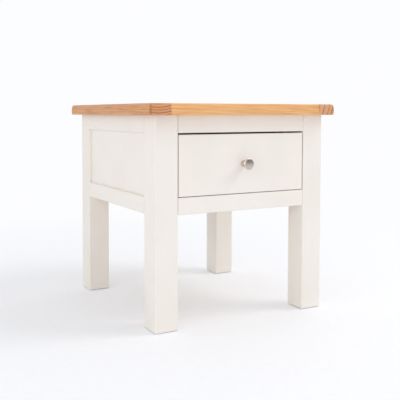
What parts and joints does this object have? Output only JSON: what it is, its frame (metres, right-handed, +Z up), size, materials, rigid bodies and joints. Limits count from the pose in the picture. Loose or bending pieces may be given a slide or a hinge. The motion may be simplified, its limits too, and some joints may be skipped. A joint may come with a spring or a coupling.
{
  "type": "side table with drawer",
  "caption": "Square low side table: painted frame of square legs, rails and recessed panels, a pine top with breadboard ends, and a sliding drawer with a round metal knob.",
  "frame": {"origin": "on the floor, under the middle of the table top", "axes": "+Z up; -Y is the front, where the drawer opens; +X is to the right of someone facing the drawer"},
  "size_m": [0.45, 0.4507, 0.45],
  "materials": {
    "cream_paint": "satin off-white paint on wood",
    "pine_top": "satin lacquered pine",
    "bare_pine": "planed bare pine",
    "plywood": "sanded plywood",
    "satin_nickel": "satin nickel",
    "zinc_steel": "zinc plated",
    "glide_plastic": "grey moulded plastic"
  },
  "bodies": {
    "table": {"top_board_1": "pine_top", "top_board_2": "pine_top", "top_board_3": "pine_top", "top_board_4": "pine_top", "breadboard_end_left": "pine_top", "breadboard_end_right": "pine_top", "leg_front_left": "cream_paint", "leg_front_right": "cream_paint", "leg_back_left": "cream_paint", "leg_back_right": "cream_paint", "glide_front_left": "glide_plastic", "glide_front_right": "glide_plastic", "glide_back_left": "glide_plastic", "glide_back_right": "glide_plastic", "front_top_rail": "cream_paint", "front_bottom_rail": "cream_paint", "back_top_rail": "cream_paint", "back_bottom_rail": "cream_paint", "left_top_rail": "cream_paint", "left_bottom_rail": "cream_paint", "right_top_rail": "cream_paint", "right_bottom_rail": "cream_paint", "left_panel": "cream_paint", "right_panel": "cream_paint", "back_panel": "cream_paint", "left_runner": "bare_pine", "left_kicker": "bare_pine", "left_drawer_stop": "bare_pine", "right_runner": "bare_pine", "right_kicker": "bare_pine", "right_drawer_stop": "bare_pine", "front_left_bracket": "zinc_steel", "front_right_bracket": "zinc_steel", "back_left_bracket": "zinc_steel", "back_right_bracket": "zinc_steel"},
    "drawer": {"drawer_front": "cream_paint", "drawer_side_left": "bare_pine", "drawer_side_right": "bare_pine", "drawer_back": "bare_pine", "drawer_bottom": "plywood", "drawer_knob": "satin_nickel", "knob_screw": "zinc_steel"}
  },
  "joints": [
    {"name": "drawer_slide", "type": "slide", "parent": "table", "child": "drawer", "axis": [0, -1, 0], "range_m": [0, 0.25]}
  ]
}
